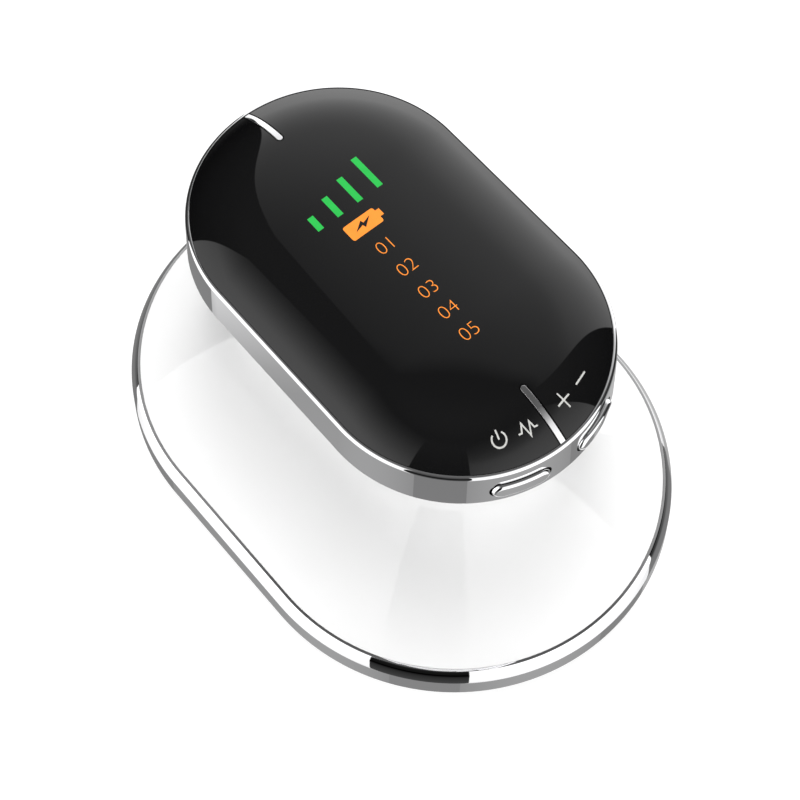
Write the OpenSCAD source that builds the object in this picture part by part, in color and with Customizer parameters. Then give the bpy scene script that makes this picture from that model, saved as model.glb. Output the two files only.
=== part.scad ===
// Hand-held body contouring device: a flared body with a wide treatment head below and a rounded
// handle on top. The outside is one profile swept round a rounded-rectangle outline, whose straight
// middle runs along Y. The keys are at the -Y end, and the device stands on its electrodes at z = 0.

/* [Outline] */
// Length of the straight middle of the outline
spine = 30.8; // [28:0.1:38]
// Diameter facets of round surfaces
facets = 96; // [48:8:160]

/* [Base ring] */
// Half width of the device at the lower edge of the base ring
base_r = 40; // [38:0.1:46]
// Width of the ring's wall at its lower edge
ring_w = 2.21; // [2:0.01:2.6]
// Height of the ring's upright face
ring_face = 4.2; // [3.8:0.1:5]
// Inward lean of the ring's upright face
ring_lean = 0.34; // [0.1:0.02:0.5]
// Height of the crowned bevel above the face
bevel_h = 2.45; // [2:0.05:2.8]
// Radius of the crowned bevel
bevel_r = 5.7; // [5:0.1:8]
// Slope of the bevel at its lower edge, in degrees
bevel_slope = 13; // [8:0.5:18]
// Width of the ledge inside the ring
ring_ledge = 2; // [1.6:0.1:2.6]
// Thickness of that ledge
ledge_t = 2; // [1.4:0.1:2.4]
// Thickness of the gasket under the body
gasket_t = 1; // [0.6:0.1:1.4]

/* [Treatment head] */
// Distance by which the electrodes stand below the ring
stand = 2.2; // [1.6:0.1:3]
// Depth of the head plate inside the ring's lower edge
plate_inset = 0.4; // [0.2:0.1:0.8]
// Thickness of the head plate
plate_t = 2.4; // [2:0.1:3]
// Height of the rim round the head plate
plate_rim = 2.4; // [1.5:0.1:3]
// Thickness of the electrodes
electrode_t = 3.6; // [3.2:0.1:4.2]
// Rounding of the electrodes' lower edges
electrode_round = 1; // [0.6:0.1:1.4]
// Half width of the centre electrode, as a share of the device's half width
centre_share = 0.3125; // [0.3:0.0025:0.33]
// Inner half width of the outer electrode, as a share of the device's half width
outer_share = 0.625; // [0.61:0.005:0.64]
// Distance from the ring's ledge in to the outer electrode
outer_margin = 2.4; // [2:0.1:3]
// Inner half width of the light window, as a share of the device's half width
lens_in_share = 0.405; // [0.4:0.005:0.42]
// Outer half width of the light window, as a share of the device's half width
lens_out_share = 0.545; // [0.52:0.005:0.55]
// Width of the bridges that hold the plate's middle
bridge = 4; // [3:0.5:6]
// Radius of the ultrasonic disc
disc_r = 9.5; // [8:0.1:10]
// Thickness of the ultrasonic disc
disc_t = 2.4; // [1.6:0.1:3]
// Number of lamps along each straight side
side_lamps = 4; // [3:1:5]
// Number of lamps round each end
end_lamps = 3; // [3:1:5]

/* [Neck] */
// Half width of the neck at its waist
neck_r = 19.5; // [19:0.1:21]
// Height of the waist above the ring's lower edge
waist = 36; // [35:0.5:38]
// Wall of the flared body
wall = 2; // [1.6:0.1:2.4]
// Half width of the flared body's upper edge
brow_r = 24.2; // [24:0.1:24.4]

/* [Grip band] */
// Height of the band's lower edge above the ring's lower edge
band_low = 48; // [47:0.1:50]
// Height of the band's face
band_face = 7.52; // [7.3:0.02:9]
// Half width of the band at its lower edge
band_r = 25.2; // [25.1:0.1:26]
// Inward lean of the band's face
band_lean = 0.48; // [0.3:0.02:0.6]
// Rounding of the band's upper edge
band_round = 0.52; // [0.3:0.02:0.6]
// Wall of the band
band_wall = 1.9; // [1.7:0.05:2]
// Thickness of the band's lower lip
lip_t = 1.1; // [0.9:0.05:1.12]
// Width of the band's lower lip
lip_w = 1.8; // [1.4:0.1:2]

/* [Top cover] */
// Radius of the crown of the cover
crown_r = 150; // [120:1:190]
// Half width of the crown
crown_w = 13.5; // [12:0.5:15]
// Radius of the cover's shoulder
shoulder_r = 20.2; // [18:0.1:24]
// Thickness of the cover
cover_t = 1.6; // [1.3:0.1:1.8]
// Height of the cover's upright edge
cover_edge = 1.36; // [1.1:0.02:1.4]
// Distance by which the cover's edge stands proud of the band
cover_proud = 0.06; // [0:0.01:0.1]
// Gap between the cover and the band
cover_gap = 0.2; // [0.1:0.02:0.26]
// Width of an accent bar
accent_w = 1; // [0.8:0.1:1.4]
// Depth of an accent bar
accent_t = 0.6; // [0.4:0.1:0.8]
// Distance of a bar's inner end from the end of the straight middle
accent_in = 14.4; // [13:0.1:16]

/* [Keys] */
// Angle of a key from the front, round the end of the handle
key_angle = 18.2; // [17.8:0.1:20]
// Height of the keys above the band's lower edge
key_z = 3.3; // [3.2:0.05:3.6]
// Length of a key's window
window_l = 10.5; // [10:0.1:11]
// Height of a key's window
window_h = 4.5; // [4.2:0.1:4.6]
// Clearance between a key and its window
key_gap = 0.35; // [0.3:0.01:0.45]
// Distance by which a key stands proud of the band
key_proud = 0.78; // [0.5:0.02:0.9]
// Rounding of a key's edges
key_round = 0.85; // [0.6:0.05:1.2]
// Distance between a key's pivot and the band's outside
pivot_in = 4.7; // [4.6:0.1:4.9]
// Distance from a key's pivot to each switch
switch_arm = 3.6; // [3.3:0.1:3.8]
// Radius of a pivot pin
pin_r = 0.5; // [0.4:0.05:0.6]
// Running clearance round a pivot pin
pin_gap = 0.05; // [0.03:0.01:0.08]
// Radius of a switch plunger
plunger_r = 0.8; // [0.6:0.05:0.9]

/* [Display] */
// Width of the display's light baffle
display_w = 19.5; // [18:0.5:21]
// Length of the display's light baffle
display_l = 40.4; // [39:0.2:42]
// Distance between the mode windows
mode_pitch = 5.04; // [4.8:0.02:5.2]
// Width of a mode window
mode_w = 11; // [9:0.5:13]
// Height of a mode window
mode_h = 3; // [2.6:0.1:3.4]
// Distance between the level windows
level_pitch = 4.15; // [4:0.05:4.3]
// Width of a level window
level_w = 2; // [1.6:0.1:2.4]
// Length of the shortest level window
level_l = 3.6; // [3.2:0.1:4]
// Length that each level window adds to the last
level_step = 1.33; // [1.2:0.01:1.4]

/* [Boards and battery] */
// Thickness of the circuit boards
board_t = 1.6; // [1:0.1:1.8]
// Width of the battery
battery_w = 27.6; // [24:0.1:28]
// Length of the battery beyond the straight middle
battery_over = 13.2; // [10:0.2:14]
// Thickness of the battery
battery_t = 10; // [8:0.5:10.5]
// Wall of the battery cradle
cradle_wall = 1.3; // [1:0.1:1.5]
// Shaft radius of the screws
screw_r = 1; // [0.8:0.05:1.1]
// Width of the ribbon cable
ribbon_w = 12; // [8:0.5:12]
// Width of the ribbon's connectors
plug_w = 3; // [2.4:0.1:3.4]
// Width of the charging plug's opening
port_w = 9.2; // [9:0.1:9.6]
// Height of the charging plug's opening
port_h = 3.5; // [3.3:0.1:3.7]

/* [Hidden] */
$fn = facets;

half = spine / 2;
fit = 0.1;               // gap between pieces that seat in each other
thread_gap = 0.02;       // gap between a screw and the hole that it cuts
past = 1;                // how far a cut runs past the face that it leaves

// Base ring and head, heights from the resting plane upwards
ring_z = stand;
ring_in = base_r - ring_w;
bevel_z = ring_z + ring_face;
ring_top_z = bevel_z + bevel_h;
bevel_mid = [base_r - ring_lean - bevel_r * cos(bevel_slope), bevel_z - bevel_r * sin(bevel_slope)];
ledge_top = ring_z + ledge_t;
foot_z = ledge_top + gasket_t;
foot_r = ring_in - fit;
outer_out = ring_in - ring_ledge - outer_margin;
outer_in = outer_share * base_r;
centre_r = centre_share * base_r;
window_in = lens_in_share * base_r;
window_out = lens_out_share * base_r;
plate_z = ring_z + plate_inset;
plate_top = plate_z + plate_t;
plate_r = foot_r - wall - 0.25;
pad_t = 1.2;             // pads under the flared body's screw bosses
boss_r = 2.6;
pad_r = 3.2;
pillar_r = 2.4;          // pillars that carry a circuit board
electrode_mid = (outer_in + outer_out) / 2;
lens_t = 1;
light_board_z = plate_top + lens_t + 1.6;
light_board_t = 1.2;
lamp_mid = (window_in + window_out) / 2;
stud_r = 1.2;            // contact studs on the backs of the electrodes
outer_studs = [for (x = [-1, 1]) [x * electrode_mid, half / 2]];
centre_studs = [for (y = [-1, 1]) [0, y * (disc_r + 5)]];
driver_z = plate_top + 9.2; // underside of the driver board
driver_r = 22.5;

// Flared body: two arcs that meet upright at the waist
function arc_through(dr, dz) = (dr * dr + dz * dz) / (2 * dr);
waist_z = ring_z + waist;
band_z = ring_z + band_low;
brow_z = band_z;
flare_arc = arc_through(foot_r - neck_r, waist_z - ring_top_z);
brow_arc = arc_through(brow_r - neck_r, brow_z - waist_z);

// Handle
band_top = band_z + band_face;
rim_z = band_top + band_round;
band_in = band_r - band_wall;
lip_in = band_in - lip_w;
frame_r = band_in - 0.3;
floor_t = lip_t + 0.1;
floor_top = band_z + floor_t;
cover_r = band_r - band_lean - band_round - cover_gap;
cover_z = rim_z + cover_proud - cover_edge;
cover_seat = cover_r - 1.5;
ledge_h = 1.1;
socket_h = 3.2;
board_r = cover_seat - 1.5;
board_z = floor_top + socket_h + 0.1;
board_top = board_z + board_t;

// Cover: a flat crown arc and a tighter shoulder arc that leaves it without a corner
crown_slope = crown_w / crown_r;
shoulder_x = crown_w - shoulder_r * crown_slope;
shoulder_z = cover_z + cover_edge - sqrt(pow(shoulder_r, 2) - pow(cover_r - shoulder_x, 2));
crown_z = shoulder_z + (shoulder_r - crown_r) * sqrt(1 - pow(crown_slope, 2));
cover_top = crown_z + crown_r;

// Keys: radii from the middle of the handle's front end
key_height = band_z + key_z;
key_l = window_l - 2 * key_gap;
key_h = window_h - 2 * key_gap;
pivot_r = band_r - pivot_in;
lug_r = 1.1;
lug_h = 2.8;
ear_r = 1.1;
ear_t = 0.8;
switch_t = 2;
switch_w = 3;
switch_h = 2.5;
switch_front = pivot_r - 0.6;
switch_board_t = 1;
switch_back = switch_front - switch_t - switch_board_t;
switch_board_w = 2 * switch_arm + 3.2;
switch_board_h = 2 * (key_height - floor_top) + 2.2;
board_front = switch_back * cos(key_angle) - switch_board_w / 2 * sin(key_angle) - 0.4;
flange_in = pivot_r + 0.8;
plunger_tip = flange_in - 0.03;
plunger_in = switch_front - 0.7;
flange_out = band_in - 0.5;
key_face = band_r - band_lean * key_z / band_face + key_proud;

// Battery, hung under the handle's frame
pad_foam = 1;
battery_z = band_z - pad_foam - battery_t;
battery_l = spine + battery_over;
cradle_w = battery_w + 2 * fit + 2 * cradle_wall;
cradle_l = battery_l + 2 * fit + 2 * cradle_wall;
cradle_round = 5;        // corners of the cradle, seen from above
ribbon_x = (cradle_w / 2 + neck_r - wall) / 2;
ribbon_t = 0.3;
plug_x = ribbon_x - 5.35; // middle of the ribbon's connectors

// Places of the fasteners, as [x, y]
head_places = [for (x = [-1, 1], y = [-1, 0, 1]) [x * electrode_mid, y * half]];
driver_places = [for (x = [-1, 1], y = [-1, 1]) [x * 9.5, y * (half + 2)]];
frame_places = [for (x = [-1, 1], y = [-1, 1]) [x * (neck_r - 7), y * (half + 11)]];
cradle_places = [for (y = [-1, 1]) [0, y * (cradle_l / 2 + 3.2)]];
board_places = [for (x = [-1, 1], y = [-1, 1]) [x * (board_r - 3.2), y * (half - 4)]];

// Display windows, as [x, y, width, length]: the mode lines, then the battery and level windows
mode_x = -0.3;
mode_windows = [for (i = [0:4]) [mode_x, mode_pitch * (0.48 - i), mode_w, mode_h]];
battery_window = [mode_x, 7.8, 7.8, 3.8];
level_low = 11;          // lower end of the level windows
level_windows = [for (i = [0:3])
  [level_pitch * (i - 1.5), level_low + (level_l + level_step * i) / 2, level_w, level_l + level_step * i]];

ink = [0.06, 0.06, 0.065];
chrome = [0.8, 0.81, 0.83];
board_green = [0.1, 0.35, 0.2];
steel = [0.65, 0.66, 0.68];

// Sweeps a profile, drawn with its half width along X and its height along Y, round the outline
module sweep() {
  for (side = [0, 180]) rotate([0, 0, side]) {
    translate([0, half, 0]) rotate_extrude(angle = 180) children();
    rotate([90, 0, 0]) linear_extrude(height = spine, center = true) children();
  }
}

// A flat plate with the body's outline
module plate(r, z, t) {
  translate([0, 0, z]) linear_extrude(height = t) {
    square([2 * r, spine], center = true);
    for (y = [-half, half]) translate([0, y]) circle(r = r);
  }
}

// A flat ring between two outlines
module plate_ring(r_in, r_out, z, t) {
  difference() {
    plate(r_out, z, t);
    plate(r_in, z - past, t + 2 * past);
  }
}

// Repeats its children at a list of [x, y] points
module at_points(points) for (p = points) translate([p[0], p[1], 0]) children();

// An upright cylinder between two heights
module post(r, z0, z1) translate([0, 0, z0]) cylinder(r = r, h = z1 - z0);

// A box between two corners
module box(low, high) translate(low) cube(high - low);

// A pan-head screw: the head stands on z, and the shaft runs down from it
module screw(z, len) {
  head_r = 1.9;
  head_h = 1.3;
  difference() {
    union() {
      post(screw_r, z - len, z + head_h / 2);
      post(head_r, z, z + head_h);
    }
    for (turn = [0, 90]) rotate([0, 0, turn]) translate([0, 0, z + head_h])
      cube([head_r * 1.2, 0.5, head_h], center = true);
  }
}

// An upright block with rounded corners
module rounded_block(w, l, z, h, r) {
  translate([0, 0, z]) linear_extrude(height = h) {
    square([w - 2 * r, l], center = true);
    square([w, l - 2 * r], center = true);
    for (x = [-1, 1], y = [-1, 1]) translate([x * (w / 2 - r), y * (l / 2 - r)]) circle(r = r);
  }
}

// The region inside the flared body, drawn inward by a wall
module body_region(inset, low, high) {
  difference() {
    translate([0, low]) square([foot_r - inset, waist_z - low]);
    translate([neck_r + flare_arc, waist_z]) circle(r = flare_arc + inset);
  }
  difference() {
    translate([0, waist_z]) square([brow_r - inset, high - waist_z]);
    translate([neck_r + brow_arc, waist_z]) circle(r = brow_arc + inset);
  }
}

// The region under the cover's dome, drawn inward by a wall
module dome_region(inset, low) {
  join = crown_w - inset * crown_slope;
  intersection() {
    translate([0, crown_z]) circle(r = crown_r - inset);
    translate([0, low]) square([join, cover_top - low]);
  }
  intersection() {
    translate([shoulder_x, shoulder_z]) circle(r = shoulder_r - inset);
    translate([join, low]) square([cover_r - inset - join, cover_top - low]);
  }
}

module neck_shell() color("white") difference() {
  union() {
    sweep() difference() {
      body_region(0, foot_z, brow_z);
      body_region(wall, foot_z - past, brow_z + past);
    }
    intersection() {
      at_points(head_places) post(boss_r, plate_top + pad_t, waist_z);
      sweep() body_region(wall / 2, foot_z, brow_z);
    }
    at_points(frame_places) post(2.8, brow_z - 10, brow_z);
  }
  at_points(head_places) post(screw_r + thread_gap, foot_z, plate_top + pad_t + 6);
  at_points(frame_places) post(screw_r + thread_gap, brow_z - 8, brow_z + past);
}

module base_ring() color(chrome) sweep() {
  polygon([[ring_in - ring_ledge, ring_z], [base_r, ring_z], [base_r - ring_lean, bevel_z],
    [ring_in, bevel_z], [ring_in, ledge_top], [ring_in - ring_ledge, ledge_top]]);
  intersection() {
    translate(bevel_mid) circle(r = bevel_r);
    translate([ring_in, bevel_z]) square([ring_w, bevel_h]);
  }
}

module base_gasket() color([0.25, 0.25, 0.26])
  plate_ring(ring_in - ring_ledge + 0.05, foot_r, ledge_top, gasket_t);

// Pads of the light window, cut through by the bridges, with a clearance drawn inward
module window_pads(inset, z, t) difference() {
  plate_ring(window_in + inset, window_out - inset, z, t);
  for (y = [-half, half]) translate([0, y, z + t / 2])
    cube([3 * window_out, bridge + 2 * inset, t + 3 * past], center = true);
}

module head_plate() color([0.93, 0.93, 0.92]) difference() {
  union() {
    plate(plate_r, plate_z, plate_t);
    plate_ring(plate_r - 1.4, plate_r, plate_top - fit, plate_rim);
    at_points(head_places) post(pad_r, electrode_t, plate_top + pad_t);
    at_points(driver_places) post(pillar_r, plate_top - fit, driver_z);
  }
  plate_ring(outer_in - fit, outer_out + fit, plate_z - past, electrode_t - plate_z + past);
  plate(centre_r + fit, plate_z - past, electrode_t - plate_z + past);
  window_pads(0, plate_z - past, plate_t + 2 * past);
  post(disc_r + 4 * fit, plate_z, plate_top + past);
  at_points(head_places) {
    post(screw_r + fit, plate_z, plate_top + pad_t + past);
    post(2, plate_z, electrode_t + 1.4);
  }
  at_points(driver_places) post(screw_r + thread_gap, driver_z - 5, driver_z + past);
  at_points(outer_studs) post(stud_r + fit, plate_z, plate_top + past);
  at_points(centre_studs) post(stud_r + fit, plate_z, plate_top + past);
}

// An electrode's section between two half widths, with its lower corners rounded
module electrode_section(r_in, r_out) {
  e = electrode_round;
  translate([r_in, e]) square([r_out - r_in, electrode_t - e]);
  translate([r_in + (r_in > 0 ? e : 0), 0]) square([r_out - r_in - (r_in > 0 ? 2 : 1) * e, electrode_t]);
  translate([r_out - e, e]) circle(r = e);
  if (r_in > 0) translate([r_in + e, e]) circle(r = e);
}

module outer_electrode() color(chrome) {
  sweep() electrode_section(outer_in, outer_out);
  at_points(outer_studs) post(stud_r, electrode_t - fit, plate_top + 3);
}

module centre_electrode() color(chrome) {
  sweep() electrode_section(0, centre_r);
  at_points(centre_studs) post(stud_r, electrode_t - fit, driver_z);
}

module light_lens() color([0.95, 0.55, 0.5]) {
  window_pads(fit, plate_z - 0.25, plate_t + 0.25 + fit);
  plate_ring(window_in - 1, window_out + 1, plate_top, lens_t);
  for (r = [window_in - 1, window_out + 0.3]) plate_ring(r, r + 0.7, plate_top, light_board_z - plate_top);
}

module light_board() color(board_green)
  plate_ring(window_in - 1, window_out + 1.6, light_board_z, light_board_t);

module light_lamps() color([0.95, 0.9, 0.6]) {
  for (x = [-1, 1], i = [0 : side_lamps - 1])
    translate([x * lamp_mid, (i - (side_lamps - 1) / 2) * spine / side_lamps, 0]) lamp();
  for (side = [0, 180], i = [0 : end_lamps - 1])
    rotate([0, 0, side]) translate([0, half, 0]) rotate([0, 0, 180 * (i + 0.5) / end_lamps])
      translate([lamp_mid, 0, 0]) lamp();
}

module lamp() translate([0, 0, light_board_z - 0.4]) cube([2.8, 3.5, 0.8], center = true);

module ultrasonic_disc() color([0.85, 0.8, 0.65]) post(disc_r, electrode_t, electrode_t + disc_t);

module driver_board() color(board_green) difference() {
  union() {
    plate(driver_r, driver_z, board_t);
    ribbon_plug(driver_z + board_t - fit, driver_z + board_t + 2);
  }
  at_points(driver_places) post(screw_r + fit, driver_z - past, driver_z + board_t + past);
  ribbon();
}

module output_transformer() color([0.2, 0.2, 0.22]) translate([-8, -4, 0]) {
  base = driver_z + board_t;
  box([-7, -8, base], [7, 8, base + 1.5]);
  difference() {
    box([-8, -3, base + 1.5], [8, 3, base + 13]);
    for (x = [-1, 1]) translate([x * 4.5, 0, base + 7.2]) cube([3, 7, 7], center = true);
  }
  translate([0, 0, base + 4.2]) cylinder(r = 5.6, h = 6);
}

module driver_chips() color(ink)
  for (p = [[-10, half - 3.4], [0, half - 1.4], [3, 1.4 - half], [16, 3.4 - half]])
  translate([p[0], p[1], driver_z + board_t + 1.1]) cube([6, 5, 2.2], center = true);

module head_screws() color(steel) at_points(head_places)
  translate([0, 0, electrode_t + 1.35]) mirror([0, 0, 1]) screw(0, 7);

module driver_screws() color(steel) at_points(driver_places) screw(driver_z + board_t, 5.5);

module battery_cradle() color([0.3, 0.3, 0.32]) difference() {
  union() {
    rounded_block(cradle_w, cradle_l, battery_z - cradle_wall, band_z - battery_z + cradle_wall, cradle_round);
    at_points(cradle_places) post(boss_r, band_z - 8, band_z);
    for (y = [-1, 1]) translate([0, y * (cradle_l / 2 + 1), band_z - 4]) cube([3, 3, 8], center = true);
  }
  rounded_block(battery_w + 2 * fit, battery_l + 2 * fit, battery_z, band_z, cradle_round - cradle_wall);
  at_points(cradle_places) post(screw_r + thread_gap, band_z - 7, band_z + past);
  for (y = [-12, 0, 12]) translate([0, y, battery_z]) cube([18, 5, 4 * cradle_wall], center = true);
}

module battery() color([0.75, 0.76, 0.78]) rounded_block(battery_w, battery_l, battery_z, battery_t, 3.5);

module battery_pad() color([0.2, 0.2, 0.2])
  rounded_block(battery_w - 2, battery_l - 3, battery_z + battery_t, pad_foam, 3);

module cradle_screws() color(steel) at_points(cradle_places) screw(floor_top, floor_t + 5.5);

// A wedge of the front end, between two radii and two heights, half_angle to each side
module front_wedge(r_in, r_out, z0, z1, half_angle) translate([0, -half, 0])
  rotate([0, 0, -90 - half_angle]) rotate_extrude(angle = 2 * half_angle)
    translate([r_in, z0]) square([r_out - r_in, z1 - z0]);

// Turns its children from the +X direction to a key's direction: side -1 is the left key
module at_key(side) translate([0, -half, 0]) rotate([0, 0, -90 + side * key_angle]) children();

module handle_frame() color([0.12, 0.12, 0.13]) {
  difference() {
    union() {
      plate(lip_in - fit, band_z, floor_t);
      plate_ring(lip_in - 1, frame_r, band_z + lip_t, 1);
      plate_ring(frame_r - 1.4, frame_r, band_z + lip_t, cover_z - ledge_h - 1 - band_z - lip_t);
      at_points(board_places) post(2.2, band_z, board_z);
    }
    front_wedge(switch_front, frame_r + past, floor_top, cover_z, 36);
    box([-5.4, half + 15, floor_top], [5.4, half + frame_r + past, cover_z]);
    box([ribbon_x - 0.8, -ribbon_w / 2 - 0.5, band_z - past], [ribbon_x + 0.8, ribbon_w / 2 + 0.5, floor_top + past]);
    at_points(frame_places) post(screw_r + fit, band_z - past, floor_top + past);
    at_points(cradle_places) post(screw_r + fit, band_z - past, floor_top + past);
    at_points(board_places) post(screw_r + thread_gap, board_z - 4, board_z + past);
    for (side = [-1, 1]) at_key(side) translate([pivot_r, 0, 0]) post(pin_r, floor_top - 1, floor_top + past);
  }
  for (side = [-1, 1]) at_key(side) pivot_bracket();
}

// Column and two ears that hold a key's pin, drawn along +X
module pivot_bracket() {
  back = switch_front - 1.8;
  low = key_height - lug_h / 2 - fit;
  high = key_height + lug_h / 2 + fit;
  difference() {
    union() {
      box([back, -ear_r, floor_top - fit / 2], [pivot_r - lug_r - 2 * fit, ear_r, high + ear_t]);
      for (z = [[floor_top - fit / 2, low], [high, high + ear_t]]) {
        box([back, -ear_r, z[0]], [pivot_r, ear_r, z[1]]);
        translate([pivot_r, 0, 0]) post(ear_r, z[0], z[1]);
      }
    }
    translate([pivot_r, 0, 0]) post(pin_r, floor_top - past, high + ear_t + past);
  }
}

module frame_screws() color(steel) at_points(frame_places) screw(floor_top, floor_t + 7);

// A pill-shaped bar along +X between two distances, lying across it
module pill(l, h, x0, x1) translate([x0, 0, key_height]) rotate([90, 0, 90]) linear_extrude(height = x1 - x0) {
  square([l - h, h], center = true);
  for (y = [-1, 1]) translate([y * (l - h) / 2, 0]) circle(r = h / 2);
}

module grip_band() color(chrome) difference() {
  rim_r = band_r - band_lean - band_round;
  sweep() {
    polygon([
      [band_r, band_z], [band_r - band_lean, band_top], [rim_r, band_top], [rim_r, cover_z],
      [cover_seat, cover_z], [cover_seat, cover_z - ledge_h],
      [band_in, cover_z - ledge_h - (band_in - cover_seat)],
      [band_in, band_z + lip_t], [lip_in, band_z + lip_t], [lip_in, band_z]
    ]);
    intersection() {
      translate([rim_r, band_top]) circle(r = band_round);
      translate([rim_r, band_top]) square(band_round);
    }
  }
  for (side = [-1, 1]) at_key(side) pill(window_l, window_h, band_in - 1, band_r + past);
  charging_port(port_w, port_h, half + band_in - 2, half + band_r + past);
}

// The pill-shaped outline of the charging plug, between two distances along +Y
module charging_port(w, h, y0, y1) translate([0, y1, board_z - socket_h / 2]) rotate([90, 0, 0])
  linear_extrude(height = y1 - y0) {
    square([w - h, h], center = true);
    for (x = [-1, 1]) translate([x * (w - h) / 2, 0]) circle(r = h / 2);
  }

module charging_socket() color(steel) {
  depth = half + board_r - 4.5;
  mouth = half + band_in + 0.4;
  difference() {
    charging_port(8.94, socket_h, depth, mouth);
    charging_port(8.34, socket_h - 0.6, depth + 1, mouth + past);
  }
  box([-3.35, depth + 0.5, board_z - socket_h / 2 - 0.35], [3.35, mouth - 1, board_z - socket_h / 2 + 0.35]);
}

module accent_cut(side, w, depth) intersection() {
  sweep() difference() {
    dome_region(0, cover_z);
    dome_region(depth, cover_z - past);
  }
  rotate([0, 0, side * 90]) translate([half + accent_in, 0, cover_z]) linear_extrude(height = cover_top - cover_z) {
    translate([0, -w / 2]) square([cover_r, w]);
    circle(d = w);
  }
}

module top_cover() color(ink) difference() {
  union() {
    sweep() difference() {
      dome_region(0, cover_z);
      dome_region(cover_t, cover_z - past);
    }
    plate_ring_to_dome(cover_seat - fit - 1.2, cover_seat - fit, cover_z - 1);
  }
  for (side = [-1, 1]) accent_cut(side, accent_w + fit, accent_t + fit / 2);
}

// The cover's locating skirt: a ring that runs up into the dome
module plate_ring_to_dome(r_in, r_out, z) sweep() intersection() {
  translate([r_in, z]) square([r_out - r_in, cover_top - z]);
  union() {
    dome_region(cover_t / 2, cover_z);
    translate([0, z]) square([r_out, cover_z + past - z]);
  }
}

module front_accent() color(chrome) accent_cut(-1, accent_w, accent_t);

module rear_accent() color(chrome) accent_cut(1, accent_w, accent_t);

module main_board() color(board_green) difference() {
  union() {
    plate(board_r, board_z, board_t);
    ribbon_plug(board_z - 2, board_z + fit);
  }
  box([-board_r, -half - board_r - past, board_z - past], [board_r, -half - board_front, board_top + past]);
  at_points(board_places) post(screw_r + fit, board_z - past, board_top + past);
  ribbon();
}

module board_screws() color(steel) at_points(board_places) screw(board_top, board_t + 3.5);

module display_baffle() color(ink) difference() {
  rounded_block(display_w, display_l, board_top, cover_top - cover_t - 0.6 - board_top, 3);
  for (w = mode_windows) window(w);
  window(battery_window);
  for (w = level_windows) window(w);
}

// A display window: [x, y, width, length]
module window(w) translate([w[0], w[1], (board_top + cover_top) / 2])
  cube([w[2], w[3], cover_top - board_top + 2 * past], center = true);

module display_lamps() color([0.95, 0.75, 0.3]) {
  for (w = mode_windows, x = [-1, 1]) small_lamp([w[0] + x * mode_w / 4, w[1]]);
  small_lamp(battery_window);
  for (w = level_windows) small_lamp(w);
}

module small_lamp(p) translate([p[0], p[1], board_top + 0.35]) cube([1.6, 0.8, 0.7], center = true);

module control_chip() color(ink) box([-11, -3.5, board_z - 1], [-4, 3.5, board_z]);

// A ribbon connector between two heights
module ribbon_plug(z0, z1)
  box([plug_x - plug_w / 2, -ribbon_w / 2 - 0.5, z0], [plug_x + plug_w / 2, ribbon_w / 2 + 0.5, z1]);

// The ribbon's side view, swept across its width: it leaves the main board's connector, runs down
// beside the battery and turns in to the driver board's connector
module ribbon() {
  bend = 1;
  top_z = board_z - 1;
  low_z = driver_z + board_t + 1;
  x1 = ribbon_x;
  rotate([90, 0, 0]) linear_extrude(height = ribbon_w, center = true) {
    for (z = [low_z, top_z]) translate([plug_x, z - ribbon_t / 2]) square([x1 - bend - plug_x, ribbon_t]);
    translate([x1 - ribbon_t / 2, low_z + bend]) square([ribbon_t, top_z - low_z - 2 * bend]);
    ribbon_bend([x1 - bend, low_z + bend], bend, -1);
    ribbon_bend([x1 - bend, top_z - bend], bend, 1);
  }
}

module ribbon_bend(p, r, up) translate(p) intersection() {
  difference() {
    circle(r = r + ribbon_t / 2);
    circle(r = r - ribbon_t / 2);
  }
  translate([0, up > 0 ? 0 : -2 * r]) square(2 * r);
}

module ribbon_cable() color([0.85, 0.6, 0.25]) ribbon();

module switch_board(side) color(board_green) at_key(side)
  box([switch_back, -switch_board_w / 2, floor_top],
    [switch_back + switch_board_t, switch_board_w / 2, floor_top + switch_board_h]);

module power_switch_board() switch_board(-1);

module level_switch_board() switch_board(1);

// Two switch housings, each bored for its plunger
module switch_bodies(side) color([0.2, 0.2, 0.22]) at_key(side) for (y = [-1, 1]) difference() {
  translate([switch_front - switch_t / 2, y * switch_arm, key_height])
    cube([switch_t, switch_w, switch_h], center = true);
  plunger_bar(y, plunger_r + 0.05, switch_front - 1, switch_front + past);
}

// A round bar along a key's direction, on the switch to one side of its pivot
module plunger_bar(y, r, x0, x1) translate([x0, y * switch_arm, key_height]) rotate([0, 90, 0])
  cylinder(r = r, h = x1 - x0);

module power_switch_bodies() switch_bodies(-1);

module level_switch_bodies() switch_bodies(1);

module plunger(side, y) color([0.85, 0.3, 0.2]) at_key(side) plunger_bar(y, plunger_r, plunger_in, plunger_tip);

module power_plunger() plunger(-1, -1);

module mode_plunger() plunger(-1, 1);

module plus_plunger() plunger(1, -1);

module minus_plunger() plunger(1, 1);

module rocker_pins() color(steel) for (side = [-1, 1]) at_key(side)
  translate([pivot_r, 0, 0]) post(pin_r, floor_top - 1, key_height + lug_h / 2 + fit + ear_t);

// A key, drawn along +X: a rounded pill that follows the band's curve, a flange that keeps it in its
// window and presses the switches with its flat back, and a lug bored for the pivot pin
module rocker() difference() {
  union() {
    intersection() {
      pill(key_l, key_h, flange_in, key_face + past);
      rotate_extrude() key_section(key_h, key_face);
    }
    intersection() {
      pill(window_l + 1.2, key_h, flange_in, flange_out);
      post(flange_out, key_height - key_h, key_height + key_h);
    }
    box([pivot_r, -lug_r, key_height - lug_h / 2], [flange_in + 0.3, lug_r, key_height + lug_h / 2]);
    translate([pivot_r, 0, 0]) post(lug_r, key_height - lug_h / 2, key_height + lug_h / 2);
  }
  translate([pivot_r, 0, 0]) {
    post(pin_r + pin_gap, key_height - key_h, key_height + key_h);
    for (z = [key_height - key_h, key_height + lug_h / 2]) post(ear_r + 0.25, z, z + key_h - lug_h / 2);
  }
}

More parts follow.
